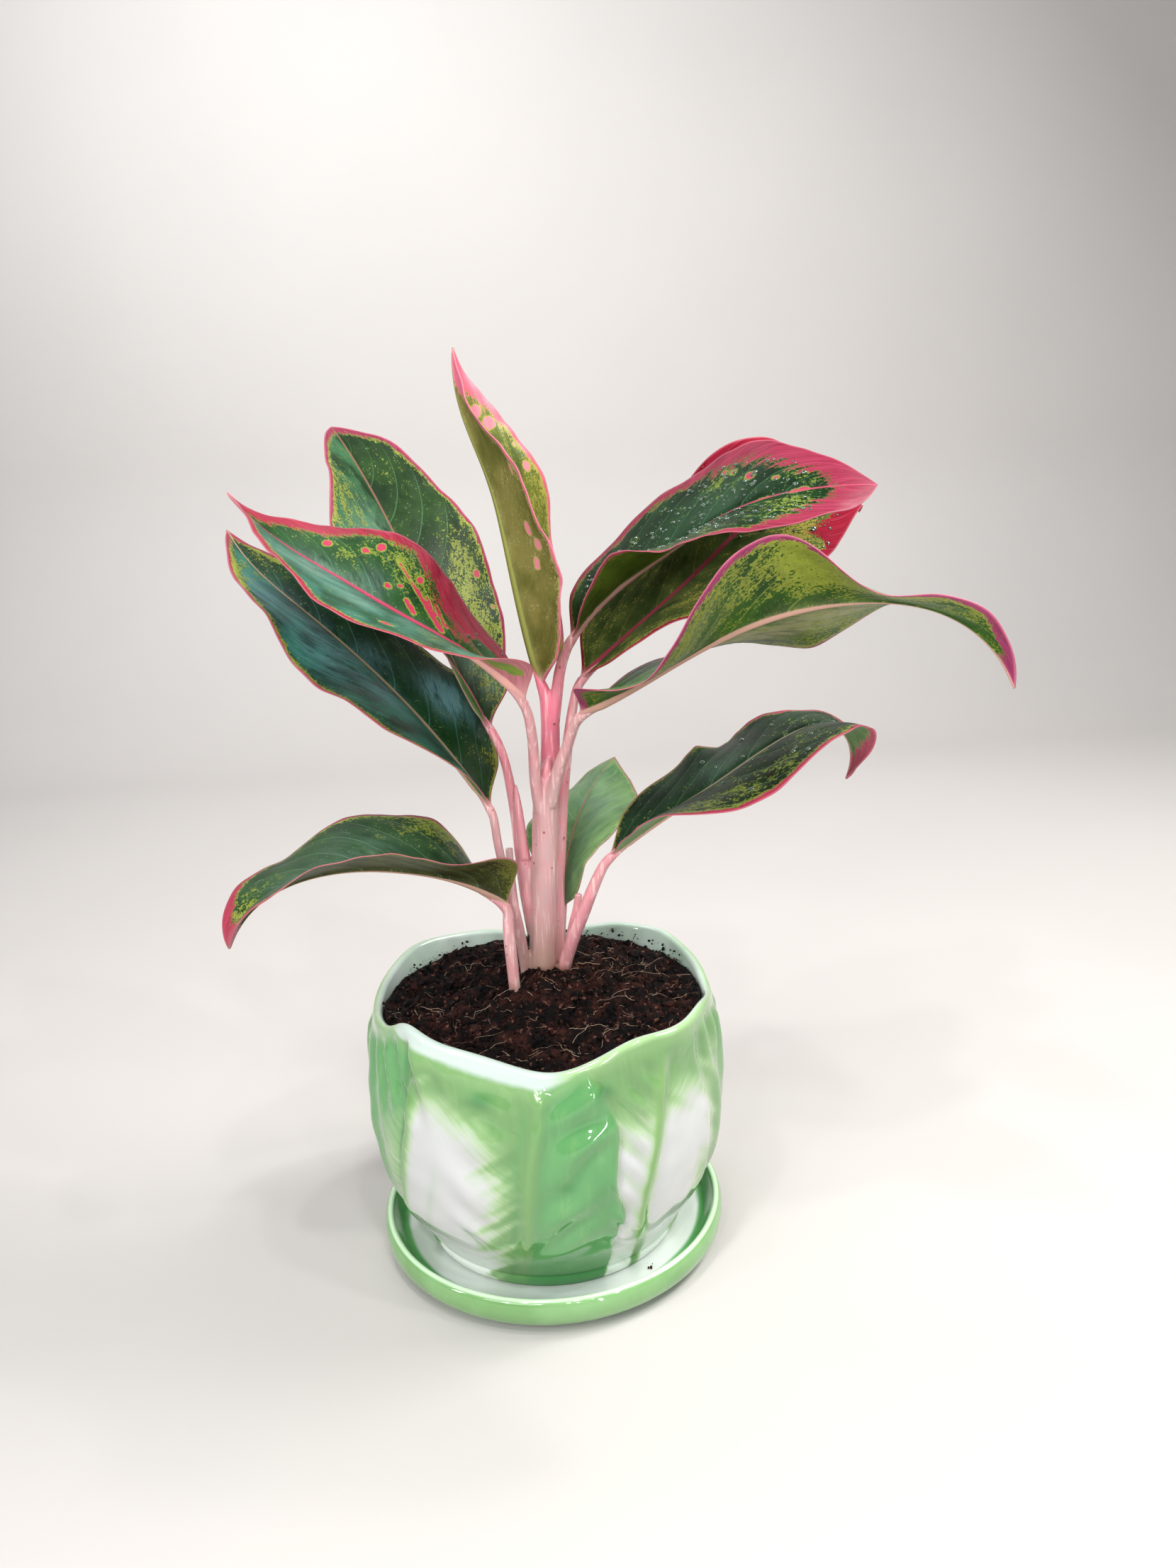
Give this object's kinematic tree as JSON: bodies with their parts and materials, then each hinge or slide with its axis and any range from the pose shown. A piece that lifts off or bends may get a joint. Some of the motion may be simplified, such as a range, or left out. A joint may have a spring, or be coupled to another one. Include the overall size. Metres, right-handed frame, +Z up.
{
  "type": "potted plant",
  "caption": "Bushy lipstick aglaonema with broad pink-edged leaves on pink stalks, growing from a glazed pot shaped like wrapped leaves, standing on a matching round saucer",
  "frame": {"origin": "centre of the saucer's flat underside, on the surface that the part stands on", "axes": "+Z is up and is the part's longest extent; -Y is the plant's front, as the picture sees it; +X is to its right"},
  "size_m": [0.2356, 0.1525, 0.3073],
  "materials": {
    "glaze": "gloss",
    "potting_mix": "matte",
    "stalk": "satin",
    "leaf_dark": "satin",
    "leaf_olive": "satin",
    "leaf_bright": "satin",
    "leaf_pale": "satin"
  },
  "bodies": {
    "root": {"saucer": "glaze", "pot": "glaze", "soil": "potting_mix", "stem": "stalk", "stalk_left_front": "stalk", "leaf_left_middle": "leaf_dark", "leaf_left_lower": "leaf_dark", "leaf_left_upper": "leaf_dark", "leaf_spear": "leaf_olive", "leaf_right_upper": "leaf_dark", "leaf_right_rear": "leaf_dark", "leaf_right_front": "leaf_bright", "leaf_right_low": "leaf_dark", "leaf_young": "leaf_pale", "leaf_left_low": "leaf_dark"}
  },
  "joints": []
}
